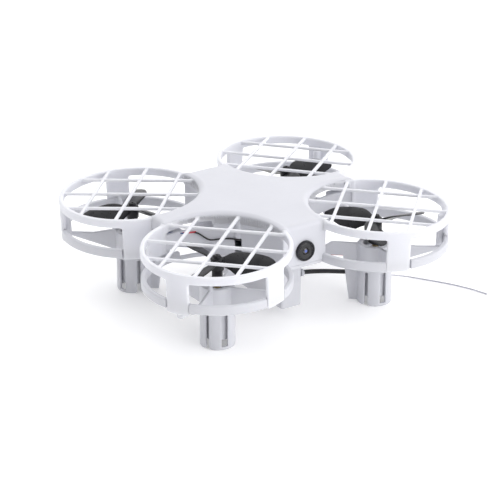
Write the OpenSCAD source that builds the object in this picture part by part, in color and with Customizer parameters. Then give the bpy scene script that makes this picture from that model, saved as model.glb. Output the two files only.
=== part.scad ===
/* [Rotor layout] */
// Half the distance between left and right rotor axes
rotor_x = 38.3; // [36:0.1:42]
// Half the distance between front and rear rotor axes
rotor_y = 32.8; // [32:0.1:36]
// Outer radius of each propeller guard
guard_r = 30; // [29.5:0.1:31]
// Radial thickness of the upper guard ring
guard_t = 1.8; // [1.4:0.1:2.2]
// Height of the guard ring top above the floor
guard_top = 42.4; // [42:0.1:44]
// Height of the upper guard band
band_h = 3.5; // [2.5:0.1:4.5]

/* [Guard grid] */
// Spacing of the grid bars
grid_pitch = 15.5; // [12:0.1:16]
// Width of a grid bar
bar_w = 1.3; // [1:0.1:1.8]
// Depth of a grid bar
bar_h = 1.2; // [1:0.1:1.6]

/* [Lower frame] */
// Underside of the lower guard ring
ring_z = 25.5; // [25:0.1:26]
// Height of the lower guard ring
ring_h = 3.8; // [3.5:0.1:5]
// Outer radius of a motor pod
pod_r = 7.1; // [6.8:0.1:7.4]
// Top of a motor pod
pod_top = 26.1; // [26:0.1:27.5]
// Thickness of the struts that carry a pod
strut_t = 1.3; // [1:0.1:1.8]

/* [Motor and propeller] */
// Motor can diameter
motor_d = 8.5; // [8:0.1:8.5]
// Motor can length
motor_l = 20; // [18:0.5:20]
// Motor shaft diameter
shaft_d = 1; // [0.8:0.1:1.2]
// Propeller radius
prop_r = 23.5; // [20:0.1:24]
// Blade pitch angle
blade_pitch = 26; // [14:1:28]

/* [Body] */
// Half the length of the body, at the camera face
body_y = 37.4; // [36:0.1:38]
// Highest point of the domed cover
dome_z = 45.3; // [44.8:0.1:46]
// Wall thickness of the shells
wall = 1.3; // [1:0.1:1.6]
// Half width of the battery box
box_x = 4.9; // [4.7:0.1:5.4]
// Half length of the battery box
box_y = 28.5; // [26:0.5:29]
// Underside of the battery box
box_z = 4.3; // [3.5:0.1:5]

/* [Camera] */
// Height of the lens axis
lens_z = 32.7; // [32:0.1:33.5]
// Radius of the camera bezel
bezel_r = 4.3; // [4:0.1:4.6]

/* [Antenna] */
// Diameter of the black antenna sleeve
sleeve_d = 1.9; // [1.6:0.1:2.2]
// Diameter of the thin antenna wire
wire_d = 0.6; // [0.5:0.1:0.8]

/* [Hidden] */
$fn = 96;

guard_in = guard_r - guard_t;
ring_top = ring_z + ring_h;
ring_in = 27.9;
// Angles, seen from above, about the axis of the front right rotor.
// The other three rotors are mirror images of it.
wall_a0 = -8;
wall_a1 = 90;
// Start angle and width of the three guard posts
posts = [[104, 24], [196.5, 19.5], [278, 19.5]];
// Diagonal from the rotor axis to the middle of the body
arm_a = atan2(rotor_y, rotor_x);
arm_len = sqrt(rotor_x * rotor_x + rotor_y * rotor_y);
// The guards lean outwards a little, as the cover falls away
lean = [1.15, -2.12, 0];
lean_z = 34;
dome_r = 535;
white = [0.93, 0.94, 0.97];
black = [0.05, 0.05, 0.06];

// Blade rest angles: the order is front left, front right, rear left, rear right
rest = [-8, 89, 5, 52];

// Route of the antenna, leaving the front corner of the battery box
ant = [[6.2, -27.5, 18.2], [11, -27.3, 17.3], [16, -26.7, 16], [21, -25.6, 14.4], [26, -24.2, 12.6], [31, -22.8, 10.8]];
tail = [[31, -22.8, 10.8], [36, -21.6, 8.7], [41, -20.5, 6.7], [46, -19.6, 4.9], [51, -19, 3.3], [56, -19.2, 2],
        [60.5, -20.8, 1.1], [64.5, -24, 0.6], [68, -28.4, 0.4], [71, -33, 0.4], [74, -38, 0.4], [76.5, -43, 0.4],
        [78.6, -48, 0.4], [80.5, -54.5, 0.4]];

module quarter(sx, sy) {
  mirror([sx < 0 ? 0 : 1, 0, 0]) mirror([0, sy < 0 ? 0 : 1, 0])
    translate([-rotor_x, -rotor_y, 0]) children();
}
module at_rotor(sx, sy) { translate([sx * rotor_x, sy * rotor_y, 0]) children(); }
module leaning() { translate([0, 0, lean_z]) rotate(lean) translate([0, 0, -lean_z]) children(); }

// Part of a ring: start angle, sweep, radii, heights
module arc(a0, sweep, r0, r1, z0, z1) {
  rotate([0, 0, a0]) rotate_extrude(angle = sweep)
    translate([r0, z0]) square([r1 - r0, z1 - z0]);
}

// ---- Guard: upper ring, grid and the posts that reach the lower ring ----
module guard() {
  color(white) leaning() difference() {
    union() {
      difference() {
        arc(wall_a1, 360 + wall_a0 - wall_a1, guard_in, guard_r, ring_z - 0.2, guard_top);
        // windows between the posts
        arc(wall_a1 - 2, posts[0][0] - wall_a1 + 2, 26, 33, 0, guard_top - band_h);
        for (k = [0:1])
          arc(posts[k][0] + posts[k][1], posts[k + 1][0] - posts[k][0] - posts[k][1], 26, 33, 0, guard_top - band_h);
        arc(posts[2][0] + posts[2][1], 360 + wall_a0 + 2 - posts[2][0] - posts[2][1], 26, 33, 0, guard_top - band_h);
        // the lower ring passes inside the feet of the posts
        arc(posts[0][0] - 5, 215, 20, 29.1, 0, ring_top + 1.8);
      }
      intersection() {
        translate([0, 0, guard_top - bar_h - 0.1]) cylinder(r = guard_in + 0.3, h = bar_h);
        union() {
          for (k = [-1, 0, 1]) {
            rotate([0, 0, 40]) translate([-40, k * grid_pitch - bar_w / 2, 0]) cube([80, bar_w, 60]);
            rotate([0, 0, -46.5]) translate([-40, k * grid_pitch - bar_w / 2, 0]) cube([80, bar_w, 60]);
          }
        }
      }
      // screw boss under the outer post
      rotate([0, 0, 206.2]) translate([27.1, 0, ring_z - 3.1]) cylinder(r = 1.6, h = ring_h + 10.4);
      rotate([0, 0, 206.2]) translate([27.1, -1.2, ring_top + 0.6]) cube([2, 2.4, 5]);
    }
    rotate([0, 0, 206.2]) translate([27.1, 0, ring_z - 3.6]) cylinder(d = 0.95, h = 9, $fn = 32);
    rotate([0, 0, 206.2]) translate([27.1, 0, ring_z - 3.6]) cylinder(r = 1.15, h = 1.6, $fn = 32);
  }
}

// ---- Motor frame: lower ring, struts, arm and the slotted pod that is also a leg ----
module strut(a, prof) {
  rotate([0, 0, a]) translate([0, strut_t / 2, 0]) rotate([90, 0, 0])
    linear_extrude(strut_t) polygon(prof);
}
module frame_ring() {
  difference() {
    arc(wall_a1, 360 + wall_a0 - wall_a1, ring_in, guard_r, ring_z, ring_top);
    for (p = posts)
      arc(p[0] - 1, p[1] + 2, 28.4, 31, ring_z - 1, ring_top + 1);
    rotate([0, 0, 206.2]) translate([27.1, 0, ring_z - 1]) cylinder(r = 1.9, h = 8);
  }
}
module pod() {
  // collar at the top
  difference() {
    union() {
      translate([0, 0, 17.5]) cylinder(r = pod_r, h = pod_top - 17.5);
      cylinder(r = pod_r, h = 18);
    }
    translate([0, 0, -1]) cylinder(r = 5.9, h = 18.5);
    translate([0, 0, 16]) cylinder(r = 5, h = 20);
  }
}
module motor_frame(slot_a) {
  color(white) difference() {
    union() {
      frame_ring();
      pod();
      // inner sleeve that grips the motor
      difference() {
        translate([0, 0, 3.4]) cylinder(r = 5.2, h = 14.4);
        translate([0, 0, 3]) cylinder(d = motor_d + 0.1, h = 20);
      }
      for (k = [0:5]) rotate([0, 0, slot_a + 30 + 60 * k]) translate([4.9, -0.5, 5]) cube([1.4, 1, 12.65]);
      // outer, rear and front struts
      strut(215.5, [[6, 16.6], [25.8, 23.2], [28.4, 25.6], [28.4, 26.8], [26.5, 24.8], [17, 24.6], [8.6, pod_top], [8, 28], [6, 28]]);
      strut(121, [[6, 15.6], [28.4, 25.6], [28.4, 26.8], [6, pod_top]]);
      strut(288, [[6, 15.6], [28.4, 25.6], [28.4, 30.7], [6, pod_top]]);
      // arm to the battery box, with the fin that runs down the leg
      intersection() {
        strut(arm_a, [[6, 0], [10.6, 0], [13.2, 19.4], [arm_len, 19.4], [arm_len, 25.4],
                      [18, 25.4], [17, pod_top], [6, pod_top]]);
        translate([-60, -60, 0]) cube([60 + rotor_x - box_x, 60 + rotor_y, 40]);
      }
    }
    // slots between the petals
    for (k = [0:5]) {
      a = slot_a + 60 * k;
      d = abs(((a - arm_a) % 360 + 540) % 360 - 180);
      // every other slot is wide and closed at the foot
      w = k % 2 == 0 ? 2.6 : 1.5;
      z0 = k % 2 == 0 ? 1.3 : -1;
      if (d > 24) rotate([0, 0, a]) translate([5.4, -w / 2, z0]) cube([3, w, 14.6 - z0]);
    }
    // motor well stays open
    translate([0, 0, 3]) cylinder(d = motor_d + 0.1, h = 30);
    translate([0, 0, 18.3]) cylinder(r = 5, h = 20);
    rotate([0, 0, 206.2]) translate([27.1, 0, ring_z - 4]) cylinder(r = 1.9, h = 13);
  }
}

// ---- Cover: domed four-pointed shell with the camera face ----
module plan(r_hole, half_y, half_x) {
  difference() {
    translate([-half_x, -half_y]) square([2 * half_x, 2 * half_y]);
    for (sx = [-1, 1], sy = [-1, 1]) translate([sx * rotor_x, sy * rotor_y]) circle(r = r_hole, $fn = 180);
  }
}
// where the upper ring of a guard runs beside the cover
module ring_room() {
  for (sx = [-1, 1], sy = [-1, 1]) quarter(sx, sy)
    arc(wall_a1, 360 + wall_a0 - wall_a1, guard_in - 1, guard_r + 0.12, 20, 60);
}
module dome(z) { translate([0, 0, z - dome_r]) sphere(r = dome_r, $fn = 200); }
module top_cover() {
  color(white) difference() {
    intersection() {
      translate([0, 0, ring_z + 1.5]) linear_extrude(30) plan(guard_in, body_y, 46);
      dome(dome_z);
    }
    // inside, leaving four bosses for the body screws
    difference() {
      intersection() {
        translate([0, 0, ring_z - 5]) linear_extrude(40) plan(guard_r, body_y - wall, 44.6);
        dome(dome_z - wall);
      }
      for (sx = [-1, 1], sy = [-1, 1]) translate([sx * 6.2, sy * 33.5, ring_z + 1.5]) cylinder(d = 3, h = 30);
      // side walls of the body
      for (sx = [-1, 1]) translate([sx * 24 - wall / 2, -15, ring_z - 5]) cube([wall, 30, 50]);
      // solid outer end of each beam
      for (sx = [-1, 1]) translate([sx * 41 - 5, -15, 31]) cube([10, 15, 7]);
    }
    // the bridge between two guards: open above and below its front beam
    for (sx = [-1, 1]) {
      translate([sx * 34.6 - 10, -15, 38]) cube([20, 30, 4]);
      translate([sx * 34.6 - 10, 0, 20]) cube([20, 15, 22]);
      translate([sx * 36.6 - 12, -15, 20]) cube([24, 30, 11.3]);
    }
    for (sx = [-1, 1], sy = [-1, 1]) translate([sx * 6.2, sy * 33.5, ring_z]) cylinder(d = 1.05, h = 7, $fn = 32);
    ring_room();
    // camera hole
    translate([0, -body_y + 3, lens_z]) rotate([90, 0, 0]) cylinder(r = 3.7, h = 8);
    // switch slot in the rear face
    translate([-2.5, body_y - 3, 33]) cube([5, 6, 2]);
    // slots where the motor leads leave the body
    for (sx = [-1, 1], sy = [-1, 1]) quarter(sx, sy)
      rotate([0, 0, arm_a]) translate([24, -1.5, 26.9]) cube([10, 3, 6.8]);
  }
}

// ---- Lower shell: floor plate and battery box ----
module lower_shell() {
  color(white) difference() {
    union() {
      difference() {
        translate([0, 0, ring_z]) linear_extrude(1.4) plan(guard_in, body_y, 46);
        ring_room();
        // open under the bridges, leaving only the edges of the front ducts
        for (sx = [-1, 1]) translate([sx * 37 - 11, 0, ring_z - 1]) {
          cube([22, 15, 4]);
          intersection() {
            translate([0, -15, 0]) cube([22, 15.1, 4]);
            translate([11 - sx * 37, 0, 0]) linear_extrude(4) plan(guard_r, body_y, 50);
          }
        }
      }
      translate([-box_x, -box_y, box_z]) cube([2 * box_x, 2 * box_y, ring_z - box_z + 1]);
      // ears that hold the hinge pin of the battery door
      for (sx = [-1, 1]) translate([sx * 4.4 - 0.5, box_y - 0.2, 22.3]) cube([1, 1.8, ring_z - 22.3 + 0.5]);
      // posts that carry the board
      for (x = [-9.5, 9.5], y = [-9.5, 9.5]) translate([x, y, ring_z + 0.5]) cylinder(d = 3, h = 4);
    }
    translate([-box_x + 0.8, -box_y + 0.9, box_z + 0.9]) cube([2 * box_x - 1.6, 2 * box_y, 18.6]);
    for (x = [-9.5, 9.5], y = [-9.5, 9.5]) translate([x, y, ring_z - 1]) cylinder(d = 1, h = 8, $fn = 32);
    // wire way from the battery to the board
    translate([-3, 14, 22]) cube([6, 6, 8]);
    // hinge pin holes
    translate([-10, box_y + 0.75, 23.2]) rotate([0, 90, 0]) cylinder(d = 1.3, h = 20, $fn = 48);
    // body screw holes and their recesses
    for (sx = [-1, 1], sy = [-1, 1]) translate([sx * 6.2, sy * 33.5, ring_z - 1]) {
      cylinder(d = 1.2, h = 4, $fn = 32);
      cylinder(d = 2.4, h = 1.6, $fn = 32);
    }
  }
}
module battery_door() {
  color(white) {
    translate([-3.75, box_y + 0.15, box_z + 0.3]) cube([7.5, 1.2, 18.7]);
    translate([-4.6, box_y + 0.75, 23.2]) rotate([0, 90, 0]) cylinder(d = 1.2, h = 9.2, $fn = 48);
    translate([-2, box_y + 1.2, box_z + 1.2]) cube([4, 0.7, 1.2]);
  }
}
module battery() {
  color([0.2, 0.35, 0.7]) translate([-3.9, -25.5, box_z + 1.3]) cube([7.8, 48, 16.6]);
}
module battery_plug() {
  color("white") translate([-2.6, 15, 23.9]) cube([5.2, 4, 5]);
}

// ---- Camera ----
module camera_bezel() {
  color(black) translate([0, -body_y, lens_z]) rotate([90, 0, 0]) difference() {
    union() {
      cylinder(r = bezel_r, h = 1.2);
      translate([0, 0, -2]) cylinder(r = 3.65, h = 2.5);
    }
    translate([0, 0, 0.5]) cylinder(r = 3.5, h = 2);
    translate([0, 0, -3]) cylinder(r = 2.6, h = 5);
  }
}
module camera_lens() {
  color([0.02, 0.03, 0.06]) translate([0, -body_y, lens_z]) rotate([90, 0, 0])
    translate([0, 0, 0.5]) cylinder(r = 3.45, h = 0.6);
}
module lens_barrel() {
  color([0.12, 0.12, 0.13]) translate([0, -body_y, lens_z]) rotate([90, 0, 0])
    translate([0, 0, -6]) difference() {
      union() { cylinder(r = 2.5, h = 6.4); translate([-3.6, -3.6, -1.5]) cube([7.2, 7.2, 3]); }
      translate([0, 0, 4.2]) cylinder(r = 1.4, h = 3);
    }
}
module camera_board() {
  color([0.05, 0.3, 0.15]) translate([-5, -body_y + 7.6, lens_z - 5]) cube([10, 1, 10]);
}

// ---- Electronics ----
module main_board() {
  color([0.05, 0.3, 0.15]) difference() {
    union() {
      translate([-12, -12, ring_z + 4.6]) cube([24, 24, 1.2]);
      translate([-4, -4, ring_z + 5.7]) cube([8, 8, 1.2]);
      translate([-9, 3, ring_z + 5.7]) cube([4, 5, 1]);
      translate([5, -8, ring_z + 5.7]) cube([4, 4, 1]);
    }
    for (x = [-9.5, 9.5], y = [-9.5, 9.5]) translate([x, y, ring_z]) cylinder(d = 1.3, h = 9, $fn = 32);
  }
}
module power_switch() {
  color(black) {
    translate([-2.3, body_y - 1.5, 33.15]) cube([1.8, 2.3, 1.7]);
    translate([-2.1, body_y - 1.9, 33.4]) cube([1.4, 0.9, 1.2]);
  }
}
module switch_body() {
  color([0.7, 0.7, 0.72]) translate([-3.6, body_y - 4.2, 32.2]) cube([7.2, 2.2, 3.6]);
}
module camera_ribbon() {
  color([0.8, 0.6, 0.3]) translate([-2, -body_y + 8.6, ring_z + 5.8]) cube([4, 19, 0.25]);
}

// ---- Motors ----
module motor() {
  color([0.75, 0.76, 0.78]) difference() {
    union() {
      translate([0, 0, 4.4]) cylinder(d = motor_d, h = motor_l);
      translate([0, 0, 4.4 + motor_l - 0.1]) cylinder(d = 3, h = 0.9);
      translate([0, 0, 3.9]) cylinder(d = 5, h = 0.6);
    }
    translate([0, 0, 8]) cylinder(d = shaft_d + 0.1, h = 30, $fn = 32);
  }
}
module shaft() {
  color([0.85, 0.85, 0.87]) translate([0, 0, 9]) cylinder(d = shaft_d, h = 27.2, $fn = 32);
}
module blade(ccw) {
  s = ccw ? 1 : -1;
  // pitched about its own length; the leading edge is the higher one
  translate([0, 0, 35]) rotate([s * blade_pitch, 0, 0]) translate([0, 0, -0.4])
    linear_extrude(0.8) scale([1, s])
      polygon([[1.2, -1.5], [3, -2.4], [5, -3.9], [7, -6.2], [9, -7.5], [12, -7], [15, -6.3], [18, -5.4], [prop_r - 3.1, -4.7],
               [prop_r - 1.5, -4.1], [prop_r - 0.5, -3.3], [prop_r, -2.6], [prop_r, -1.6], [prop_r - 0.5, -0.4],
               [prop_r - 1.5, 1.3], [prop_r - 3.1, 2.8], [18, 3.8], [15, 4.5], [12, 4.9], [9, 5], [7, 4.6], [5, 3.8],
               [3, 2.6], [1.2, 1.7]]);
}
module propeller(ccw) {
  color(black) difference() {
    union() {
      translate([0, 0, 26]) cylinder(r = 3, h = 1);
      translate([0, 0, 26.9]) cylinder(r = 2.2, h = 5);
      translate([0, 0, 31.6]) cylinder(r = 2.6, h = 5.2);
      translate([0, 0, 36.7]) cylinder(r = 1.6, h = 1.3);
      for (k = [0:2]) rotate([0, 0, 120 * k]) blade(ccw);
    }
    translate([0, 0, 20]) cylinder(d = shaft_d, h = 16.2, $fn = 32);
    translate([0, 0, 36]) cylinder(d = 0.9, h = 4, $fn = 32);
  }
}

// ---- Motor leads: two insulated wires per motor, tucked along each arm ----
module lead(o, c) {
  color(c) {
    translate([4.6, o, 24.5]) cylinder(d = 0.6, h = 2.8, $fn = 24);
    translate([4.6, o, 27.3]) sphere(d = 0.6, $fn = 24);
    translate([4.6, o, 27.3]) rotate([0, 90, 0]) cylinder(d = 0.6, h = 27, $fn = 24);
  }
}
module motor_leads() {
  for (sx = [-1, 1], sy = [-1, 1]) quarter(sx, sy) rotate([0, 0, arm_a]) {
    lead(-0.5, "red"); lead(0.5, "blue");
  }
}

// ---- Screws ----
module screw() {
  color([0.3, 0.3, 0.32]) difference() {
    union() {
      cylinder(d = 2.1, h = 0.8, $fn = 32);
      cylinder(d = 0.9, h = 6, $fn = 32);
    }
    translate([-0.7, -0.15, -0.1]) cube([1.4, 0.3, 0.45]);
    translate([-0.15, -0.7, -0.1]) cube([0.3, 1.4, 0.45]);
  }
}
module screws() {
  for (sx = [-1, 1], sy = [-1, 1]) quarter(sx, sy) leaning()
    rotate([0, 0, 206.2]) translate([27.1, 0, ring_z - 2.8]) screw();
  for (x = [-9.5, 9.5], y = [-9.5, 9.5])
    color([0.3, 0.3, 0.32]) translate([x, y, ring_z + 5.85]) {
      cylinder(d = 2.1, h = 0.7, $fn = 32);
      translate([0, 0, -4.5]) cylinder(d = 0.95, h = 4.6, $fn = 32);
    }
  for (sx = [-1, 1], sy = [-1, 1]) translate([sx * 6.2, sy * 33.5, ring_z - 0.2]) screw();
}

// ---- Antenna: clip on the box, black sleeve, thin wire ----
module antenna_clip() {
  color([0.75, 0.76, 0.8]) translate([box_x, -27.5, 18.2]) rotate([0, 90, 0]) cylinder(r = 1.5, h = 1.05);
}
function unit(v) = v / norm(v);
function side(t) = unit(cross(t, [0, 0, 1]));
function tangent(p, i) = unit(p[min(i + 1, len(p) - 1)] - p[max(i - 1, 0)]);
function circle_at(c, t, r, n) = let (u = side(t), v = cross(u, t))
  [for (k = [0:n - 1]) c + r * (cos(360 * k / n) * u + sin(360 * k / n) * v)];
// a smooth curve through the route's points
function spline(a, b, c, d, t) = 0.5 * ((2 * b) + (c - a) * t + (2 * a - 5 * b + 4 * c - d) * t * t + (3 * b - a - 3 * c + d) * t * t * t);
function smooth(p, m) = [for (i = [0:len(p) - 2], j = [0:m - 1])
    spline(p[max(i - 1, 0)], p[i], p[i + 1], p[min(i + 2, len(p) - 1)], j / m), p[len(p) - 1]];
module tube(p, d, n) {
  rings = [for (i = [0:len(p) - 1]) each circle_at(p[i], tangent(p, i), d / 2, n)];
  m = len(p);
  polyhedron(points = rings, faces = concat(
    [[for (k = [0:n - 1]) k]],
    [for (i = [0:m - 2], k = [0:n - 1]) [i * n + k, (i + 1) * n + k, (i + 1) * n + (k + 1) % n, i * n + (k + 1) % n]],
    [[for (k = [n - 1:-1:0]) (m - 1) * n + k]]));
}
module antenna_sleeve() { color(black) tube(smooth(ant, 3), sleeve_d, 8); }
module antenna_wire() { color([0.75, 0.75, 0.8]) tube(smooth(tail, 4), wire_d, 8); }

top_cover();
quarter(1, -1) guard();  // prop_guard_front_left
quarter(-1, -1) guard();  // prop_guard_front_right
quarter(1, 1) guard();  // prop_guard_rear_left
quarter(-1, 1) guard();  // prop_guard_rear_right
quarter(1, -1) motor_frame(36);  // motor_frame_front_left
quarter(-1, -1) motor_frame(22);  // motor_frame_front_right
quarter(1, 1) motor_frame(22);  // motor_frame_rear_left
quarter(-1, 1) motor_frame(42);  // motor_frame_rear_right
lower_shell();
battery_door();
battery();
battery_plug();
camera_bezel();
camera_lens();
lens_barrel();
camera_board();
main_board();
power_switch();
switch_body();
camera_ribbon();
at_rotor(1, -1) motor();  // motor_front_left
at_rotor(-1, -1) motor();  // motor_front_right
at_rotor(1, 1) motor();  // motor_rear_left
at_rotor(-1, 1) motor();  // motor_rear_right
at_rotor(1, -1) shaft();  // shaft_front_left
at_rotor(-1, -1) shaft();  // shaft_front_right
at_rotor(1, 1) shaft();  // shaft_rear_left
at_rotor(-1, 1) shaft();  // shaft_rear_right
at_rotor(1, -1) rotate([0, 0, rest[0]]) propeller(false);  // propeller_front_left
at_rotor(-1, -1) rotate([0, 0, rest[1]]) propeller(true);  // propeller_front_right
at_rotor(1, 1) rotate([0, 0, rest[2]]) propeller(true);  // propeller_rear_left
at_rotor(-1, 1) rotate([0, 0, rest[3]]) propeller(false);  // propeller_rear_right
motor_leads();
screws();
antenna_clip();
antenna_sleeve();
antenna_wire();
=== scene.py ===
"""Mini palm drone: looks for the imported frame. Distances in the shape code are in millimetres."""

import math

import bmesh
import bpy
import numpy as np
import openvdb as vdb
from mathutils import Matrix, Vector


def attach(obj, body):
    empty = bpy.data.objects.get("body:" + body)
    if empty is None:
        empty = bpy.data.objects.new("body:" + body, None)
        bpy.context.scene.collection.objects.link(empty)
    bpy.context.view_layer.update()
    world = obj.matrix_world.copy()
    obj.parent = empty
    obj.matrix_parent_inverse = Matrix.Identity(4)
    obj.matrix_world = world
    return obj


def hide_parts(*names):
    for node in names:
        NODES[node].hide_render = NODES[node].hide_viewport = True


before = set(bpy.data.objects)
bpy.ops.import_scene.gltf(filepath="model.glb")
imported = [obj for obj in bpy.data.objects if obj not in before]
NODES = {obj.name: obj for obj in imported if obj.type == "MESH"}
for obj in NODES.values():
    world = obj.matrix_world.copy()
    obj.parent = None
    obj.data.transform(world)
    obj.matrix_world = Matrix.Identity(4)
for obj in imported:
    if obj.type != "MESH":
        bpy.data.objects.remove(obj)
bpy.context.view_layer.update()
MM = 0.001
SCENE = bpy.context.scene

# ---------------------------------------------------------------- dimensions (mm)
RX, RY = 38.3, 32.8  # rotor axes
G_OUT, G_IN, G_TOP, BAND = 30.0, 28.2, 42.4, 3.5
RING_Z, RING_H, RING_IN = 25.5, 3.8, 27.9
RING_TOP = RING_Z + RING_H
POD_R, POD_TOP = 7.1, 26.1
POSTS = [(104, 24), (196.5, 19.5), (278, 19.5)]
SEAM_A, SEAM_B = 90, 352
LEAN, LEAN_Z = (1.15, -2.12), 34.0
BODY_Y, DOME_Z, DOME_R, WALL = 37.4, 45.3, 535.0, 1.3
LENS_Z = 32.7
BOX_X, BOX_Y, BOX_Z = 4.9, 28.5, 4.3
ARM_A = math.degrees(math.atan2(RY, RX))
ARM_LEN = math.hypot(RX, RY)
CORNERS = {
    "front_left": (1, -1),
    "front_right": (-1, -1),
    "rear_left": (1, 1),
    "rear_right": (-1, 1),
}

# ---------------------------------------------------------------- camera
cam_data = bpy.data.cameras.new("camera")
cam = bpy.data.objects.new("camera", cam_data)
SCENE.collection.objects.link(cam)
cam.location = (-0.469838, -0.719648, 0.385115)
cam.rotation_euler = (math.radians(66.9575), 0, math.radians(-33.0475))
cam_data.sensor_width = 36.0
cam_data.sensor_fit = "HORIZONTAL"
cam_data.lens = 2258.515 / 500 * 36.0
cam_data.clip_start = 0.05
cam_data.clip_end = 20
SCENE.camera = cam


# ---------------------------------------------------------------- materials
def material(name, color, rough=0.4, metal=0.0, **sockets):
    m = bpy.data.materials.new(name)
    m.use_nodes = True
    b = m.node_tree.nodes["Principled BSDF"]
    b.inputs["Base Color"].default_value = (*color, 1)
    b.inputs["Roughness"].default_value = rough
    b.inputs["Metallic"].default_value = metal
    for k, v in sockets.items():
        b.inputs[k.replace("_", " ")].default_value = v
    return m


def noise(m, scale, detail=3.0, rough=0.55, coords="Object"):
    nt = m.node_tree
    tc = nt.nodes.get("tc") or nt.nodes.new("ShaderNodeTexCoord")
    tc.name = "tc"
    n = nt.nodes.new("ShaderNodeTexNoise")
    n.inputs["Scale"].default_value = scale
    n.inputs["Detail"].default_value = detail
    n.inputs["Roughness"].default_value = rough
    nt.links.new(tc.outputs[coords], n.inputs["Vector"])
    return n.outputs["Fac"]


def ramp(m, fac, stops):
    r = m.node_tree.nodes.new("ShaderNodeValToRGB")
    r.color_ramp.elements.remove(r.color_ramp.elements[1])
    r.color_ramp.elements[0].position = stops[0][0]
    r.color_ramp.elements[0].color = (*stops[0][1], 1)
    for p, c in stops[1:]:
        e = r.color_ramp.elements.new(p)
        e.color = (*c, 1)
    m.node_tree.links.new(fac, r.inputs["Fac"])
    return r.outputs["Color"]


def rough_range(m, fac, lo, hi):
    r = m.node_tree.nodes.new("ShaderNodeMapRange")
    r.inputs["To Min"].default_value = lo
    r.inputs["To Max"].default_value = hi
    r.inputs["From Min"].default_value = 0.3
    r.inputs["From Max"].default_value = 0.7
    m.node_tree.links.new(fac, r.inputs["Value"])
    m.node_tree.links.new(r.outputs["Result"], m.node_tree.nodes["Principled BSDF"].inputs["Roughness"])


def bump(m, fac, strength, distance):
    b = m.node_tree.nodes.new("ShaderNodeBump")
    b.inputs["Strength"].default_value = strength
    b.inputs["Distance"].default_value = distance
    m.node_tree.links.new(fac, b.inputs["Height"])
    m.node_tree.links.new(b.outputs["Normal"], m.node_tree.nodes["Principled BSDF"].inputs["Normal"])


def color_from(m, fac, a, b, lo=0.35, hi=0.65):
    m.node_tree.links.new(
        ramp(m, fac, [(lo, a), (hi, b)]),
        m.node_tree.nodes["Principled BSDF"].inputs["Base Color"],
    )


def abs_white(name, base, rough=(0.34, 0.46), under=0.12, depth=0.0012):
    """Moulded white ABS: a faint satin grain, slow colour drift and uneven gloss."""
    m = material(name, base, 0.4, IOR=1.46)
    m.node_tree.nodes["Principled BSDF"].inputs["Subsurface Weight"].default_value = under
    m.node_tree.nodes["Principled BSDF"].inputs["Subsurface Radius"].default_value = (1.0, 1.0, 1.0)
    m.node_tree.nodes["Principled BSDF"].inputs["Subsurface Scale"].default_value = depth
    drift = noise(m, 38, 2)
    color_from(m, drift, tuple(c * 0.975 for c in base), tuple(min(1, c * 1.015) for c in base))
    rough_range(m, noise(m, 420, 3), *rough)
    bump(m, noise(m, 3200, 2), 0.05, 0.00005)
    return m


WHITE = abs_white("white_abs_cover", (0.625, 0.63, 0.675))
# The guards get a brighter copy of the cover's white ABS. This is painted light: it stands in for light glowing
# through the thin bars and bands, on top of the real subsurface scattering.
WHITE_GUARD_PAINTED_GLOW = abs_white("white_abs_guard_painted_glow", (0.72, 0.725, 0.77), (0.30, 0.42), 0.5, 0.003)
WHITE_FRAME = abs_white("white_abs_frame", (0.61, 0.615, 0.655), (0.34, 0.48))
WHITE_SHELL = abs_white("white_abs_shell", (0.61, 0.615, 0.655), (0.36, 0.5))


def black_plastic(name, base, rough, coat=0.0):
    m = material(name, base, sum(rough) / 2, Coat_Weight=coat, Coat_Roughness=0.08, Specular_IOR_Level=0.28)
    color_from(m, noise(m, 160, 3), base, tuple(c * 1.5 + 0.002 for c in base))
    rough_range(m, noise(m, 900, 3), *rough)
    bump(m, noise(m, 2600, 2), 0.05, 0.00005)
    return m


BLACK_PROP = black_plastic("black_propeller", (0.006, 0.006, 0.008), (0.26, 0.38))
BLACK_BEZEL = black_plastic("black_bezel", (0.012, 0.012, 0.015), (0.22, 0.34))
BLACK_SLEEVE = black_plastic("black_sleeve", (0.014, 0.014, 0.016), (0.42, 0.56))
BLACK_SWITCH = black_plastic("black_switch", (0.02, 0.02, 0.022), (0.4, 0.5))


def metal(name, base, rough):
    m = material(name, base, sum(rough) / 2, 1.0)
    rough_range(m, noise(m, 1200, 2), *rough)
    color_from(m, noise(m, 500, 2), tuple(c * 0.92 for c in base), base)
    return m


STEEL = metal("motor_steel", (0.62, 0.63, 0.66), (0.22, 0.36))
SHAFT = metal("shaft_steel", (0.75, 0.75, 0.78), (0.15, 0.25))
SCREW = metal("screw_steel", (0.16, 0.16, 0.18), (0.3, 0.45))


BRASS = metal("bushing_brass", (0.62, 0.48, 0.26), (0.25, 0.38))


def film(name, a, b, rough, scale=300, **sockets):
    """A thin coloured skin: two tones mottled together, with uneven gloss and a fine bump."""
    m = material(name, a, sum(rough) / 2, **sockets)
    color_from(m, noise(m, scale, 3), a, b)
    rough_range(m, noise(m, scale * 2.5, 3), *rough)
    bump(m, noise(m, scale * 4, 2), 0.06, 0.00005)
    return m


LEAD_RED = film("lead_red", (0.50, 0.03, 0.05), (0.60, 0.06, 0.08), (0.3, 0.45))
LEAD_BLUE = film("lead_blue", (0.02, 0.06, 0.20), (0.03, 0.09, 0.28), (0.3, 0.45))
LEAD_BLACK = film("lead_black", (0.010, 0.010, 0.012), (0.02, 0.02, 0.022), (0.3, 0.45))
BOARD = film("board_mask", (0.010, 0.10, 0.045), (0.016, 0.15, 0.06), (0.22, 0.36), 900)
RIBBON = film("ribbon_film", (0.55, 0.30, 0.07), (0.66, 0.40, 0.11), (0.25, 0.4), 500)
WRAP = film("battery_wrap", (0.05, 0.12, 0.42), (0.07, 0.17, 0.5), (0.28, 0.45), 260)
PLUG = film("battery_plug", (0.78, 0.78, 0.75), (0.84, 0.84, 0.81), (0.35, 0.5), 240)
CLIP = film("antenna_clip", (0.42, 0.43, 0.47), (0.50, 0.51, 0.55), (0.35, 0.5), 400)
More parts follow.
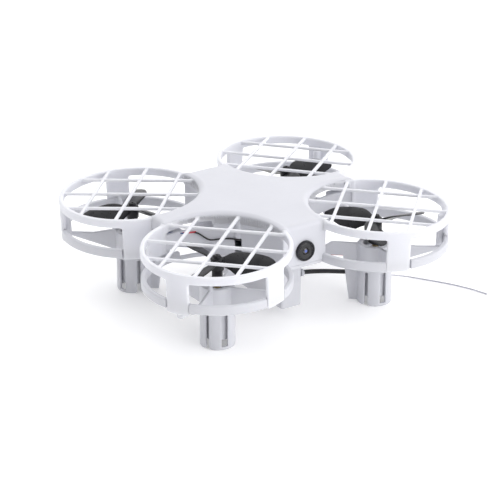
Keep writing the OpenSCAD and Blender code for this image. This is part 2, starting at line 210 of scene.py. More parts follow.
LENS_FACE = film("lens_face", (0.010, 0.010, 0.012), (0.016, 0.016, 0.018), (0.16, 0.24), 500)
LENS_EYE = material("lens_eye", (0.006, 0.012, 0.05), 0.04, Coat_Weight=1.0, Coat_Roughness=0.02, IOR=1.6)


def by_radius(m, stops):
    """Colour by the distance from the lens axis, in mm."""
    nt = m.node_tree
    v = nt.nodes.new("ShaderNodeVectorMath")
    v.operation = "MULTIPLY_ADD"
    v.inputs[1].default_value = (1000, 0, 1000)
    v.inputs[2].default_value = (0, 0, -LENS_Z)
    nt.links.new(nt.nodes.new("ShaderNodeTexCoord").outputs["Object"], v.inputs[0])
    r = nt.nodes.new("ShaderNodeVectorMath")
    r.operation = "LENGTH"
    nt.links.new(v.outputs["Vector"], r.inputs[0])
    nt.links.new(ramp(m, r.outputs["Value"], stops), nt.nodes["Principled BSDF"].inputs["Base Color"])


by_radius(LENS_EYE, [(0.0, (0.05, 0.12, 0.50)), (0.42, (0.04, 0.09, 0.42)), (0.62, (0.012, 0.02, 0.14)), (0.82, (0.006, 0.006, 0.02)), (1.0, (0.01, 0.01, 0.012))])


# ---------------------------------------------------------------- signed fields (mm)
def rbox2(a, b, ha, hb, r):
    """A box in two coordinates, centred, with rounded corners."""
    qa, qb = np.abs(a) - (ha - r), np.abs(b) - (hb - r)
    return np.sqrt(np.maximum(qa, 0) ** 2 + np.maximum(qb, 0) ** 2) + np.minimum(np.maximum(qa, qb), 0) - r


def smin(a, b, k):
    h = np.maximum(k - np.abs(a - b), 0) / k
    return np.minimum(a, b) - h * h * (k / 4)


def smax(a, b, k):
    return -smin(-a, -b, k)


def axes(lo, hi, v):
    return np.meshgrid(*[np.arange(a, b + v, v, dtype=np.float32) for a, b in zip(lo, hi)], indexing="ij", sparse=True)


def turned(x, y, deg):
    """Coordinates along and across a direction."""
    c, s = math.cos(math.radians(deg)), math.sin(math.radians(deg))
    return x * c + y * s, y * c - x * s


def convex(s, z, pts):
    """A convex polygon given anticlockwise, as the largest half-plane distance."""
    d = None
    for (x0, y0), (x1, y1) in zip(pts, pts[1:] + pts[:1]):
        n = math.hypot(x1 - x0, y1 - y0)
        e = ((s - x0) * (y1 - y0) - (z - y0) * (x1 - x0)) / n
        d = e if d is None else np.maximum(d, e)
    return d


def surface(field, lo, v, adapt=0.0):
    """Points and faces of the zero surface of a field, in mm."""
    band = np.float32(3 * v)
    g = vdb.FloatGrid(float(band))
    g.copyFromArray(np.clip(field, -band, band).astype(np.float32))
    g.transform = vdb.createLinearTransform(voxelSize=float(v))
    pts, tris, quads = g.convertToPolygons(isovalue=0.0, adaptivity=float(adapt))
    pts = pts.astype(np.float64) + np.array(lo, dtype=np.float64)
    faces = [list(map(int, t)) for t in tris] + [list(map(int, q)) for q in quads]
    return pts, faces


def as_mesh(name, pts, faces, mat):
    me = bpy.data.meshes.new(name)
    me.from_pydata((np.asarray(pts) * MM).tolist(), [], faces)
    me.validate()
    bm = bmesh.new()
    bm.from_mesh(me)
    if bm.calc_volume(signed=True) < 0:
        bmesh.ops.reverse_faces(bm, faces=bm.faces)
    bm.to_mesh(me)
    bm.free()
    me.shade_smooth()
    me.materials.append(mat)
    o = bpy.data.objects.new(name, me)
    SCENE.collection.objects.link(o)
    return o


def mirrored(pts, corner):
    sx, sy = corner
    p = np.array(pts)
    p[:, 0] = (p[:, 0] - RX) * (1 if sx < 0 else -1)
    p[:, 1] = (p[:, 1] - RY) * (1 if sy < 0 else -1)
    return p


def leaned(pts):
    a, b = math.radians(LEAN[0]), math.radians(LEAN[1])
    m = Matrix.Rotation(b, 3, "Y") @ Matrix.Rotation(a, 3, "X")
    p = np.array(pts) - [0, 0, LEAN_Z]
    return p @ np.array(m).T + [0, 0, LEAN_Z]


def unleaned_coords(x, y, z):
    a, b = math.radians(LEAN[0]), math.radians(LEAN[1])
    m = np.array((Matrix.Rotation(b, 3, "Y") @ Matrix.Rotation(a, 3, "X")).transposed())
    z = z - LEAN_Z
    return (
        m[0, 0] * x + m[0, 1] * y + m[0, 2] * z,
        m[1, 0] * x + m[1, 1] * y + m[1, 2] * z,
        m[2, 0] * x + m[2, 1] * y + m[2, 2] * z + LEAN_Z,
    )


def leaned_coords(x, y, z):
    """Where the point at x, y, z of a guard's own frame is, once the guard leans."""
    a, b = math.radians(LEAN[0]), math.radians(LEAN[1])
    m = np.array(Matrix.Rotation(b, 3, "Y") @ Matrix.Rotation(a, 3, "X"))
    z = z - LEAN_Z
    return (
        m[0, 0] * x + m[0, 1] * y + m[0, 2] * z,
        m[1, 0] * x + m[1, 1] * y + m[1, 2] * z,
        m[2, 0] * x + m[2, 1] * y + m[2, 2] * z + LEAN_Z,
    )


def cover_field(x, y, z):
    """The cover's solid outside shape, in the drone's frame."""
    plan = smax(np.abs(x) - 46.0, np.abs(y) - BODY_Y, 1.2)
    for sx in (-1, 1):
        for sy in (-1, 1):
            plan = smax(plan, G_IN - np.sqrt((x - sx * RX) ** 2 + (y - sy * RY) ** 2), 0.8)
    dome = np.sqrt(x * x + y * y + (z - DOME_Z + DOME_R) ** 2) - DOME_R
    return plan, dome


def bridge_gaps(x, y, z):
    """The openings of each bridge between two guards: above and below its front beam, and all of its rear."""
    side = np.abs(np.abs(x) - 34.6) - 10.0
    above = np.maximum(side, np.abs(z - 39.8) - 1.8)
    rear = np.maximum(side, np.maximum(-y, z - 41.6))
    under = np.maximum(SIDE + 0.6 - np.abs(x), z - 31.3)
    return np.minimum(np.minimum(above, rear), under)


def guard_field(x, y, z):
    """A guard in its own frame: the wall with its windows, the grid and the screw boss."""
    r = np.sqrt(x * x + y * y)
    ang = np.degrees(np.arctan2(y, x)) % 360
    arc = np.radians(ang) * 29.1
    wall = rbox2(r - 29.1, z - (25.3 + G_TOP) / 2, 0.9, (G_TOP - 25.3) / 2, 0.5)
    gaps = [(40, 104), (128, 196.5), (216, 278), (297.5, 400)]
    for a0, a1 in gaps:
        c, h = math.radians((a0 + a1) / 2) * 29.1, math.radians((a1 - a0) / 2) * 29.1
        a = arc if a1 <= 360 else np.where(ang < 180, arc + 2 * math.pi * 29.1, arc)
        window = rbox2(a - c, z - 18.9, h, 20.0, 0.9)
        wall = smax(wall, -window, 0.7)
    # the lower ring passes inside the feet of the posts
    wall = np.maximum(wall, -np.maximum(r - 29.1, z - (RING_TOP + 1.2)))
    bars = None
    for a in (40, -46.5):
        _, n = turned(x, y, a)
        n = n - 15.5 * np.clip(np.round(n / 15.5), -1, 1)
        b = rbox2(n, z - (G_TOP - 0.7), 0.65, 0.6, 0.32)
        bars = b if bars is None else smin(bars, b, 0.3)
    bars = np.maximum(bars, r - 28.7)
    f = smin(wall, bars, 0.5)
    s, t = turned(x, y, 206.2)
    q = np.sqrt((s - 27.1) ** 2 + t * t)
    boss = rbox2(q, z - 30.2, 1.6, 7.8, 0.35)
    f = smin(f, boss, 0.9)
    f = np.maximum(f, -np.maximum(q - 0.5, z - 32.5))
    return np.maximum(f, -np.maximum(q - 1.15, z - 23.5))


BLEND = 1.7
SIDE = 24.0  # where the body's side walls stand
COARSE = 1.0


def make_guards():
    v, lo, hi = 0.2 * COARSE, (-31.0, -31.0, 23.0), (31.0, 31.0, 43.6)
    x, y, z = axes(lo, hi, v)
    g = guard_field(x, y, z)
    wx, wy, wz = leaned_coords(x, y, z)
    plan, dome = cover_field(wx - RX, wy - RY, wz)
    body = smax(smax(plan, dome, 2.2), 26.92 - wz, 0.1)
    body = np.maximum(body, -bridge_gaps(wx - RX, wy - RY, wz))
    f = smin(g, body, BLEND)
    f = np.maximum(f, (g - body) * 0.7)
    # the body side of the ring belongs to the cover
    ang = np.degrees(np.arctan2(y, x)) % 360
    r = np.sqrt(x * x + y * y)
    inside = np.maximum(G_IN + 0.1 - r, 0)  # the grid reaches the cover's wall
    a, b = turned(x, y, SEAM_A), turned(x, y, SEAM_B)
    body_side = np.minimum(-a[1], b[1])  # positive between the two seams
    keep = np.where(r > G_IN - 0.15, body_side, -1.0)
    del ang, inside
    f = np.maximum(f, keep)
    pts, faces = surface(f, lo, v)
    pts = leaned(pts)
    for name, c in CORNERS.items():
        o = as_mesh(f"guard_{name}", mirrored(pts, c), faces, WHITE_GUARD_PAINTED_GLOW)
        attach(o, "airframe")
        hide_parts(f"prop_guard_{name}")


def make_cover():
    v, lo, hi = 0.25 * COARSE, (-47.5, -39.0, 26.0), (47.5, 39.0, 46.6)
    x, y, z = axes(lo, hi, v)
    plan, dome = cover_field(x, y, z)
    body = smax(smax(plan, dome, 2.2), 26.92 - z, 0.1)
    # the guards' own shapes near the cover, folded onto one corner
    ax, ay = RX - np.abs(x), RY - np.abs(y)
    gx, gy, gz = unleaned_coords(ax, ay, z)
    r = np.sqrt(gx * gx + gy * gy)
    band = rbox2(r - 29.1, gz - (G_TOP - BAND / 2), 0.9, BAND / 2, 0.5)
    f = smin(body, band, BLEND)
    a, b = turned(gx, gy, SEAM_A), turned(gx, gy, SEAM_B)
    body_side = np.minimum(-a[1], b[1])
    f = np.where(body_side > 0, f, np.maximum(f, (body - band) * 0.7))
    f = np.maximum(f, np.where(r < G_IN - 0.3, 0.5, -9.0) * (gz > 20))
    s, t = turned(ax, ay, ARM_A)
    rib = np.maximum(rbox2(s - 28.6, t, 1.2, 0.95, 0.5), np.abs(z - 38.2) - 4.4)
    f = smin(f, np.maximum(rib, dome + 0.6), 0.6)
    inner = np.maximum(plan + WALL, dome + WALL)
    inner = np.maximum(inner, 0.65 - np.abs(np.abs(x) - SIDE))
    block = np.maximum(np.maximum(36.0 - np.abs(x), y), np.abs(z - 34.5) - 3.5)
    inner = np.maximum(inner, -block)
    f = np.maximum(f, -inner)
    f = smax(f, -bridge_gaps(x, y, z), 0.3)
    # camera hole, switch slot and the slots of the motor leads
    q = np.sqrt(x * x + (z - LENS_Z) ** 2)
    f = smax(f, -np.maximum(q - 3.7, y + 34.0), 0.3)
    f = np.maximum(f, -np.maximum(rbox2(x, z - 34, 2.5, 1.0, 0.3), 34.4 - y))
    s, t = turned(ax, ay, ARM_A)
    f = np.maximum(f, -np.maximum(rbox2(t, z - 30.2, 1.5, 3.5, 0.3), np.abs(s - 29) - 5))
    pts, faces = surface(f, lo, v)
    o = as_mesh("cover", pts, faces, WHITE)
    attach(o, "airframe")
    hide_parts("top_cover")


def frame_field(x, y, z, slot_a):
    """A motor frame in its rotor's frame: ring, struts, arm and the slotted pod."""
    r = np.sqrt(x * x + y * y)
    ring = rbox2(r - (RING_IN + G_OUT) / 2, z - (RING_Z + RING_H / 2), (G_OUT - RING_IN) / 2, RING_H / 2, 0.55)
    ang = np.degrees(np.arctan2(y, x)) % 360
    for a0, w in POSTS:
        arc = (np.abs(ang - (a0 + w / 2)) - (w / 2 + 0.5)) * (math.pi / 180 * 29)
        ring = np.maximum(ring, -np.maximum(arc, 28.75 - r))
    s, t = turned(x, y, 206.2)
    boss = np.sqrt((s - 27.1) ** 2 + t * t) - 1.9
    a, b = turned(x, y, SEAM_A), turned(x, y, SEAM_B)
    body_side = np.minimum(-a[1], b[1])
    ring = np.maximum(ring, body_side)
    struts = None
    for deg, pieces in (
        (215.5, (
            [(6, 16.6), (25.8, 23.2), (26.6, 24.8), (6, 24.6)],
            [(25.4, 23.1), (28.4, 25.6), (28.4, 26.8), (26.2, 24.8)],
            [(6, 20), (17, 22), (17, 24.6), (8.6, POD_TOP), (6, POD_TOP)],
            [(6, 20), (8.4, 20), (8.6, POD_TOP), (8, 28), (6, 28)],
        )),
        (121, ([(6, 15.6), (28.4, 25.6), (28.4, 26.8), (6, POD_TOP)],)),
        (288, ([(6, 15.6), (28.4, 25.6), (28.4, 30.7), (6, POD_TOP)],)),
    ):
        s, t = turned(x, y, deg)
        d = None
        for pts in pieces:
            e = convex(s, z, pts)
            d = e if d is None else np.minimum(d, e)
        d = smax(d, np.abs(t) - 0.65, 0.5)
        struts = d if struts is None else np.minimum(struts, d)
    s, t = turned(x, y, ARM_A)
    beam = convex(s, z, [(6, 19.4), (ARM_LEN, 19.4), (ARM_LEN, 25.4), (18, 25.4), (17, POD_TOP), (6, POD_TOP)])
    fin = convex(s, z, [(6, 0), (10.6, 0), (13.2, 19.4), (13.2, 24), (6, 24)])
    arm = smax(np.minimum(beam, fin), np.abs(t) - 0.65, 0.5)
    arm = np.maximum(arm, x - (RX - BOX_X))
    f = smin(ring, smin(struts, arm, 0.8), 0.9)
    tube = rbox2(r - 6.5, z - POD_TOP / 2, 0.6, POD_TOP / 2, 0.35)
    collar = rbox2(r - 6.05, z - 21.8, 1.05, 4.3, 0.4)
    sleeve = rbox2(r - 4.73, z - 10.6, 0.47, 7.2, 0.15)
    ribs = None
    slots = None
    for k in range(6):
        s, t = turned(x, y, slot_a + 30 + 60 * k)
        d = np.maximum(rbox2(s - 5.6, t, 0.7, 0.5, 0.1), np.abs(z - 11.3) - 6.3)
        ribs = d if ribs is None else np.minimum(ribs, d)
        a = slot_a + 60 * k
        off = abs(((a - ARM_A) % 360 + 540) % 360 - 180)
        if off > 24:
            s, t = turned(x, y, a)
            if k % 2 == 0:  # wide, closed at the foot
                d = np.maximum(rbox2(t, z - 7.95, 1.3, 6.65, 0.3), 5.4 - s)
            else:  # narrow, open at the foot with rounded corners
                flare = 0.75 + 0.8 * np.clip((1.5 - z) / 1.5, 0, 1) ** 2
                d = np.maximum(np.maximum(np.abs(t) - flare, z - 14.6), 5.4 - s)
            slots = d if slots is None else np.minimum(slots, d)
    f = smin(f, np.minimum(tube, collar), 0.9)
    f = np.minimum(f, np.minimum(sleeve, ribs))
    f = smax(f, -slots, 0.35)
    f = np.maximum(f, -np.maximum(r - 4.3, 3.0 - z))
    f = np.maximum(f, -np.maximum(r - 5.0, 18.3 - z))
    f = np.maximum(f, -z)
    return np.maximum(f, -np.maximum(boss, 20.0 - z))


def make_frames():
    v, lo, hi = 0.22 * COARSE, (-31.0, -31.0, -1.0), (35.0, 34.0, 31.2)
    x, y, z = axes(lo, hi, v)
    for slot_a, names in ((36, ("front_left",)), (22, ("front_right", "rear_left")), (42, ("rear_right",))):
        pts, faces = surface(frame_field(x, y, z, slot_a), lo, v)
        for name in names:
            o = as_mesh(f"frame_{name}", mirrored(pts, CORNERS[name]), faces, WHITE_FRAME)
            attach(o, "airframe")
            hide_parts(f"motor_frame_{name}")


def make_shell():
    """The floor plate with the battery box under it."""
    v, lo, hi = 0.25 * COARSE, (-46.5, -38.5, 3.6), (46.5, 38.5, 30.6)
    x, y, z = axes(lo, hi, v)
    plan = smax(np.abs(x) - 46.0, np.abs(y) - BODY_Y, 1.2)
    for sx in (-1, 1):
        for sy in (-1, 1):
            plan = np.maximum(plan, G_OUT + 0.12 - np.sqrt((x - sx * RX) ** 2 + (y - sy * RY) ** 2))
    # the bridges have no floor, only the edges of the front ducts
    d = np.sqrt((np.abs(x) - RX) ** 2 + (np.abs(y) - RY) ** 2)
    f = smax(smax(plan, np.abs(x) - 26.0, 0.3), np.abs(z - RING_Z - 0.7) - 0.7, 0.2)
    edge = np.maximum(rbox2(d - 29.1, z - RING_Z - 0.7, 0.9, 0.7, 0.25), np.abs(np.abs(x) - 31.5) - 6.7)
    f = np.minimum(f, np.maximum(edge, np.abs(y + 6.0) - 6.0))
    box = smax(rbox2(x, y, BOX_X, BOX_Y, 1.1), np.abs(z - 15.4) - 11.1, 0.9)
    f = smin(f, box, 1.0)
    post = np.sqrt((np.abs(x) - 9.5) ** 2 + (np.abs(y) - 9.5) ** 2)
    f = np.minimum(f, smax(post - 1.5, np.abs(z - 28) - 2, 0.3))
    ear = smax(rbox2(np.abs(x) - 4.4, y - BOX_Y - 0.7, 0.5, 0.9, 0.25), np.abs(z - 24.15) - 1.85, 0.3)
    f = np.minimum(f, ear)
    well = np.maximum(rbox2(x, y - 0.9, BOX_X - 0.8, BOX_Y, 0.6), np.abs(z - 14.5) - 9.3)
    f = np.maximum(f, -well)
    f = np.maximum(f, -np.maximum(rbox2(x, y - 17, 3, 3, 0.4), np.abs(z - 26) - 4))
    f = np.maximum(f, -np.maximum(post - 0.5, 24.5 - z))
    f = np.maximum(f, -(np.sqrt((y - 29.25) ** 2 + (z - 23.2) ** 2) - 0.65))
    q = np.sqrt((np.abs(x) - 6.2) ** 2 + (np.abs(y) - 33.5) ** 2)
    f = np.maximum(f, -(q - 0.6))
    f = smax(f, -np.maximum(q - 1.2, z - 26.1), 0.15)
    pts, faces = surface(f, lo, v)
    o = as_mesh("shell", pts, faces, WHITE_SHELL)
    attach(o, "airframe")
    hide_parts("lower_shell")


# ---------------------------------------------------------------- turned pieces
def turned_piece(name, parts, place, seg=64):
    """Turned profiles (radius, height), each with its own material, in one object."""
    bm = bmesh.new()
    mats = []
    for prof, mat in parts:
        if mat not in mats:
            mats.append(mat)
        rings = []
        for pr, pz in prof:
            if pr < 1e-6:
                rings.append([bm.verts.new((0, 0, pz))])
            else:
                rings.append([bm.verts.new((pr * math.cos(2 * math.pi * k / seg), pr * math.sin(2 * math.pi * k / seg), pz)) for k in range(seg)])
        loop = rings if len(rings[0]) == 1 and len(rings[-1]) == 1 else rings + [rings[0]]
        for a, b in zip(loop, loop[1:]):
            for k in range(seg):
                j = (k + 1) % seg
                if len(a) == 1:
                    f = bm.faces.new((a[0], b[j], b[k]))
                elif len(b) == 1:
                    f = bm.faces.new((a[k], a[j], b[0]))
                else:
                    f = bm.faces.new((a[k], a[j], b[j], b[k]))
                f.material_index = mats.index(mat)
    bmesh.ops.recalc_face_normals(bm, faces=bm.faces)
    bmesh.ops.transform(bm, matrix=Matrix.Scale(MM, 4) @ place, verts=bm.verts)
    me = bpy.data.meshes.new(name)
    bm.to_mesh(me)
    bm.free()
    me.shade_smooth()
    for m in mats:
        me.materials.append(m)
    o = bpy.data.objects.new(name, me)
    SCENE.collection.objects.link(o)
    o.modifiers.new("edges", "EDGE_SPLIT").split_angle = math.radians(38)
    return o


def make_motor(name, corner):
    place = Matrix.Translation((corner[0] * RX, corner[1] * RY, 0))
    can = [
        (0, 4.05), (2.1, 4.05), (2.35, 4.2), (2.45, 4.4), (3.85, 4.4), (4.13, 4.5), (4.25, 4.8),
        (4.25, 22.9), (4.2, 23.0), (4.2, 23.2), (4.25, 23.3), (4.25, 24.0), (4.15, 24.3), (3.9, 24.4),
        (1.9, 24.4), (1.85, 24.4), (1.5, 24.46), (0.56, 24.46), (0.56, 9.0), (0, 9.0),
    ]
    bush = [(0.56, 24.4), (1.4, 24.4), (1.4, 25.1), (1.25, 25.2), (0.56, 25.2)]
    o = turned_piece(name, [(can, STEEL), (bush, BRASS)], place)
    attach(o, "airframe")
    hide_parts(name.replace("can_", "motor_"))


def make_camera():
    """Lens axis along -Y: heights run outwards from the camera face."""
    place = Matrix.Translation((0, -BODY_Y, LENS_Z)) @ Matrix.Rotation(math.radians(90), 4, "X")
    ring = [
        (2.6, -2.0), (2.6, 0.35), (2.75, 0.5), (3.46, 0.5), (3.46, 0.86), (3.56, 1.06), (3.74, 1.18), (3.95, 1.2),
        (4.16, 1.12), (4.28, 0.92), (4.3, 0.7), (4.3, 0.02), (3.65, 0.02), (3.65, -2.0),
    ]
    bezel = turned_piece("bezel", [(ring, BLACK_BEZEL)], place, 96)
    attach(bezel, "airframe")
    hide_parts("camera_bezel")
    plate = [
        (1.25, 0.52), (3.42, 0.52), (3.42, 0.92), (3.3, 1.0), (1.75, 1.03), (1.6, 0.99), (1.5, 0.88), (1.28, 0.62),
    ]
    glass = [(0, 0.54), (1.22, 0.54), (1.22, 0.62), (1.1, 0.74), (0.85, 0.86), (0.5, 0.95), (0.2, 0.985), (0, 0.99)]
    lens = turned_piece("lens", [(plate, LENS_FACE), (glass, LENS_EYE)], place, 96)
    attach(lens, "airframe")
    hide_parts("camera_lens")


def make_leads():
    """Two leads from each motor along the underside of its arm; at the front right they also show along the duct wall."""
    made = []
    for name, (sx, sy) in CORNERS.items():
        for off, mat in ((-0.42, LEAD_RED), (0.42, LEAD_BLUE)):
            pts = []
            for s, z in ((6.6, 16.4), (7.2, 17.6), (8.6, 18.9), (11, 19.45), (14, 19.58), (17, 19.58), (21, 19.58), (25, 19.58),
                         (28.5, 19.58), (32, 19.58), (36, 19.58), (40, 19.58), (43, 19.6)):
                a = math.radians(ARM_A)
                x = s * math.cos(a) - off * 0.66 * math.sin(a)
                y = s * math.sin(a) + off * 0.66 * math.cos(a)
                pts.append((sx * RX - sx * x, sy * RY - sy * y, z))
            made.append(curve(f"lead_{name}_{'red' if off < 0 else 'blue'}", smooth(pts, 4), 0.26, mat))
    cx, cy = -RX, -RY

    def on_wall(route):
        return smooth([(cx + r * math.cos(math.radians(a)), cy + r * math.sin(math.radians(a)), z) for a, r, z in route], 6)

    made.append(curve("lead_wall_dark", on_wall([
        (37, 29.2, 32.6), (41, 27.9, 33.2), (46, 27.7, 33.5), (52, 27.6, 33.4), (57, 27.6, 33.1), (62, 27.5, 32.9),
        (65, 27.5, 33.2), (68, 27.5, 34.1), (71, 27.6, 35.2), (74, 27.75, 36.2), (76.5, 27.8, 36.6),
        (78, 28.3, 36.7)]), 0.34, LEAD_BLACK))
    made.append(curve("lead_wall_red", on_wall([
        (75.5, 28.3, 36.7), (77, 27.85, 36.8), (80, 27.8, 36.9), (83, 27.8, 37.0), (85.5, 27.9, 37.1), (87, 28.4, 37.2)]),
        0.34, LEAD_RED))
    made.append(curve("lead_wall_blue", on_wall([
        (84, 28.3, 37.1), (86, 27.9, 37.15), (88, 28.0, 37.2), (90.5, 29.0, 37.4), (93, 29.9, 37.6), (96, 30.0, 37.8),
        (99, 30.05, 37.9)]), 0.26, LEAD_BLUE))
    for o in made:
        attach(o, "airframe")
    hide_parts("motor_leads")


# ---------------------------------------------------------------- propellers
BLADE = [  # radius, trailing edge, leading edge, pitch, thickness
    (1.4, -1.5, 1.7, 36, 1.5),
    (3.0, -2.4, 2.6, 37, 1.25),
    (5.0, -3.8, 3.8, 36, 1.05),
    (7.0, -6.1, 4.6, 33, 0.9),
    (9.0, -7.5, 5.0, 30.5, 0.8),
    (12.0, -7.0, 4.9, 27, 0.72),
    (15.0, -6.3, 4.5, 24, 0.65),
    (18.0, -5.4, 3.8, 21, 0.6),
    (20.4, -4.7, 2.8, 19, 0.55),
    (22.0, -4.1, 1.3, 18, 0.5),
    (23.0, -3.3, -0.4, 17, 0.45),
    (23.4, -2.6, -1.6, 17, 0.4),
]


def propeller(name, corner, ccw, rest):
    """Three twisted, cambered blades on a stepped hub."""
    bm = bmesh.new()
    n = 14
    s = 1 if ccw else -1
    rows = []
    for r, te, le, pitch, thick in BLADE:
        ring = []
        for k in range(2 * n):
            u = 0.5 - 0.5 * math.cos(math.pi * (k if k <= n else 2 * n - k) / n)  # 0 at the leading edge
            c = le + (te - le) * u
            t = thick * (0.35 + 2.2 * math.sqrt(max(u, 0)) * (1 - u) ** 0.9) / 1.35
            if u < 1e-6 or u > 1 - 1e-6:
                t = thick * 0.12
            camber = 0.07 * (le - te) * 4 * u * (1 - u)
            h = camber + (0.5 * t if k <= n else -0.5 * t)
            p = math.radians(pitch)
            y = c * math.cos(p) - h * math.sin(p)
            z = c * math.sin(p) + h * math.cos(p)
            ring.append(bm.verts.new((r, s * y, 34.9 + z)))
        rows.append(ring)
    for a, b in zip(rows, rows[1:]):
        for k in range(2 * n):
            bm.faces.new((a[k], a[(k + 1) % (2 * n)], b[(k + 1) % (2 * n)], b[k]))
    bm.faces.new(rows[0])
    bm.faces.new(rows[-1][::-1])
    geom = list(bm.verts) + list(bm.edges) + list(bm.faces)
    for k in (1, 2):
        d = bmesh.ops.duplicate(bm, geom=geom)["geom"]
        bmesh.ops.rotate(
            bm,
            verts=[e for e in d if isinstance(e, bmesh.types.BMVert)],
            cent=(0, 0, 0),
            matrix=Matrix.Rotation(math.radians(120 * k), 3, "Z"),
        )
    # hub: skirt, neck, barrel with a rounded top and the small bore
    prof = [
        (0.62, 26.0), (2.7, 26.0), (3.0, 26.25), (3.0, 26.75), (2.7, 27.05), (2.25, 27.15), (2.15, 27.6),
        (2.15, 31.2), (2.35, 31.55), (2.6, 31.9), (2.6, 36.2), (2.45, 36.65), (2.05, 36.85), (1.65, 36.95),
        (1.55, 37.6), (1.35, 37.92), (1.05, 38.0), (0.5, 38.0), (0.5, 36.4),
    ]
    m = 48
    rings = [[bm.verts.new((pr * math.cos(2 * math.pi * k / m), pr * math.sin(2 * math.pi * k / m), pz)) for k in range(m)] for pr, pz in prof]
    for a, b in zip(rings, rings[1:]):
        for k in range(m):
            bm.faces.new((a[k], a[(k + 1) % m], b[(k + 1) % m], b[k]))
    bm.faces.new(rings[0][::-1])
    bm.faces.new(rings[-1])
    bmesh.ops.recalc_face_normals(bm, faces=bm.faces)
    cx, cy = corner[0] * RX, corner[1] * RY
    bmesh.ops.rotate(bm, verts=bm.verts, cent=(0, 0, 0), matrix=Matrix.Rotation(math.radians(rest), 3, "Z"))
    bmesh.ops.translate(bm, verts=bm.verts, vec=(cx, cy, 0))
    bmesh.ops.scale(bm, verts=bm.verts, vec=(MM, MM, MM))
    me = bpy.data.meshes.new(name)
    bm.to_mesh(me)
    bm.free()
    me.shade_smooth()
    me.materials.append(BLACK_PROP)
    o = bpy.data.objects.new(name, me)
    SCENE.collection.objects.link(o)
    mod = o.modifiers.new("edges", "EDGE_SPLIT")
    mod.split_angle = math.radians(50)
    return o


# ---------------------------------------------------------------- antenna
ANT = [(6.2, -27.5, 18.2), (11, -27.3, 17.3), (16, -26.7, 16), (21, -25.6, 14.4), (26, -24.2, 12.6), (31, -22.8, 10.8)]
TAIL = [
    (31, -22.8, 10.8), (36, -21.6, 8.7), (41, -20.5, 6.7), (46, -19.6, 4.9), (51, -19, 3.3), (56, -19.2, 2),
    (60.5, -20.8, 1.1), (64.5, -24, 0.6), (68, -28.4, 0.4), (71, -33, 0.4), (74, -38, 0.4), (76.5, -43, 0.4),
    (78.6, -48, 0.4), (80.5, -54.5, 0.4),
]


def smooth(p, m):
    p = [np.array(q, float) for q in p]
    out = []
    for i in range(len(p) - 1):
        a, b, c, d = p[max(i - 1, 0)], p[i], p[i + 1], p[min(i + 2, len(p) - 1)]
        for j in range(m):
            t = j / m
            out.append(0.5 * (2 * b + (c - a) * t + (2 * a - 5 * b + 4 * c - d) * t * t + (3 * b - a - 3 * c + d) * t ** 3))
    out.append(p[-1])
    return out


def curve(name, pts, radius, mat, cap=True):
    cu = bpy.data.curves.new(name, "CURVE")
    cu.dimensions = "3D"
    sp = cu.splines.new("POLY")
    sp.points.add(len(pts) - 1)
    for q, p in zip(sp.points, pts):
        q.co = (*(np.array(p) * MM), 1)
    cu.bevel_depth = radius * MM
    cu.bevel_resolution = 4
    cu.use_fill_caps = cap
    cu.materials.append(mat)
    o = bpy.data.objects.new(name, cu)
    SCENE.collection.objects.link(o)
    return o


WIRE = material("antenna_wire_metal", (0.50, 0.50, 0.56), 0.42, 0.35)
color_from(WIRE, noise(WIRE, 700, 2), (0.42, 0.42, 0.48), (0.56, 0.56, 0.62))
rough_range(WIRE, noise(WIRE, 1800, 2), 0.34, 0.5)


def make_antenna():
    path = smooth(ANT, 3)[:-1] + smooth(TAIL, 4)
    wire = curve("antenna", path, 0.3, WIRE)
    sleeve = curve("antenna_cover", smooth(ANT, 5), 0.95, BLACK_SLEEVE)
    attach(wire, "airframe")
    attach(sleeve, "airframe")
    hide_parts("antenna_wire")
    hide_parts("antenna_sleeve")
    long = sum(float(np.linalg.norm(b - a)) for a, b in zip(path, path[1:]))
    print("ANTENNA", round(long, 2), "mm")


make_antenna()
make_guards()
make_cover()
make_frames()
make_shell()
for name, corner in CORNERS.items():
    make_motor(f"can_{name}", corner)
make_camera()
make_leads()

RESTS = {"front_left": (-8, False), "front_right": (89, True), "rear_left": (5, True), "rear_right": (52, False)}
for name, (rest, ccw) in RESTS.items():
    o = propeller(f"prop_{name}", CORNERS[name], ccw, rest)
    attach(o, f"rotor_{name}")
    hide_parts(f"propeller_{name}")

# ---------------------------------------------------------------- materials for the CAD nodes that stay
keep = {
    "battery_door": WHITE_SHELL, "lens_barrel": BLACK_BEZEL, "power_switch": BLACK_SWITCH, "switch_body": STEEL,
    "screws": SCREW, "battery": WRAP, "battery_plug": PLUG, "main_board": BOARD, "camera_board": BOARD,
    "camera_ribbon": RIBBON, "antenna_clip": CLIP,
}
for k in CORNERS:
    keep[f"shaft_{k}"] = SHAFT
for name, mat in keep.items():
    for s in NODES[name].material_slots:
        s.material = mat

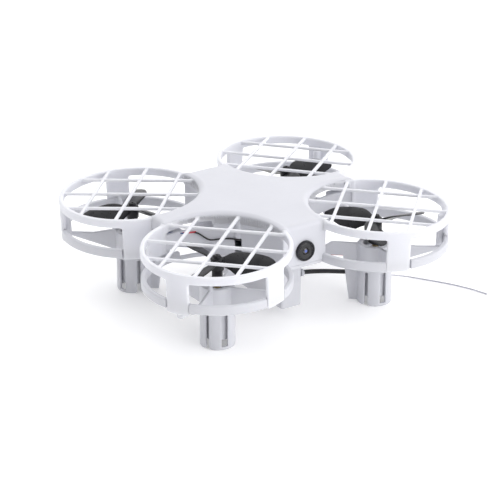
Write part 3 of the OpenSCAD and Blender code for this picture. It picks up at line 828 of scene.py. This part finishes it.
# ---------------------------------------------------------------- stage and light
KEY, WORLD_LOW, WORLD_HIGH = 6.8, 0.13, 1.38
DARK = 205  # azimuth of the darker side of the room
floor_mat = material("floor", (0.95, 0.95, 0.95), 0.7)
floor_mat.node_tree.nodes["Principled BSDF"].inputs["Emission Color"].default_value = (1, 1, 1, 1)
floor_mat.node_tree.nodes["Principled BSDF"].inputs["Emission Strength"].default_value = 0.2
bpy.ops.mesh.primitive_plane_add(size=12, location=(0, 0, 0))
floor = bpy.context.object
floor.name = "floor"
floor.data.materials.append(floor_mat)


def area(name, loc, target, size, power, color=(1, 1, 1)):
    d = bpy.data.lights.new(name, "AREA")
    d.shape = "RECTANGLE"
    d.size, d.size_y = size
    d.energy = power
    d.color = color
    o = bpy.data.objects.new(name, d)
    o.location = loc
    o.rotation_euler = (Vector(target) - Vector(loc)).to_track_quat("-Z", "Y").to_euler()
    SCENE.collection.objects.link(o)
    return o


area("key", (0.5, -1.5, 0.6), (0, 0, 0.03), (1.2, 0.9), KEY)
world = bpy.data.worlds.new("world")
SCENE.world = world
world.use_nodes = True
wt = world.node_tree
# a bright studio with one darker side, to the drone's right
lobe = wt.nodes.new("ShaderNodeVectorMath")
lobe.operation = "DOT_PRODUCT"
lobe.inputs[1].default_value = (math.cos(math.radians(DARK)), math.sin(math.radians(DARK)), 0.0)
wt.links.new(wt.nodes.new("ShaderNodeTexCoord").outputs["Generated"], lobe.inputs[0])
shade = wt.nodes.new("ShaderNodeMapRange")
shade.interpolation_type = "SMOOTHSTEP"
shade.inputs["From Min"].default_value = 0.1
shade.inputs["From Max"].default_value = 1.0
shade.inputs["To Min"].default_value = WORLD_HIGH
shade.inputs["To Max"].default_value = WORLD_LOW
wt.links.new(lobe.outputs["Value"], shade.inputs["Value"])
wt.links.new(shade.outputs["Result"], wt.nodes["Background"].inputs["Strength"])
wt.nodes["Background"].inputs["Color"].default_value = (0.99, 0.99, 1.0, 1)
SCENE.view_settings.view_transform = "Standard"
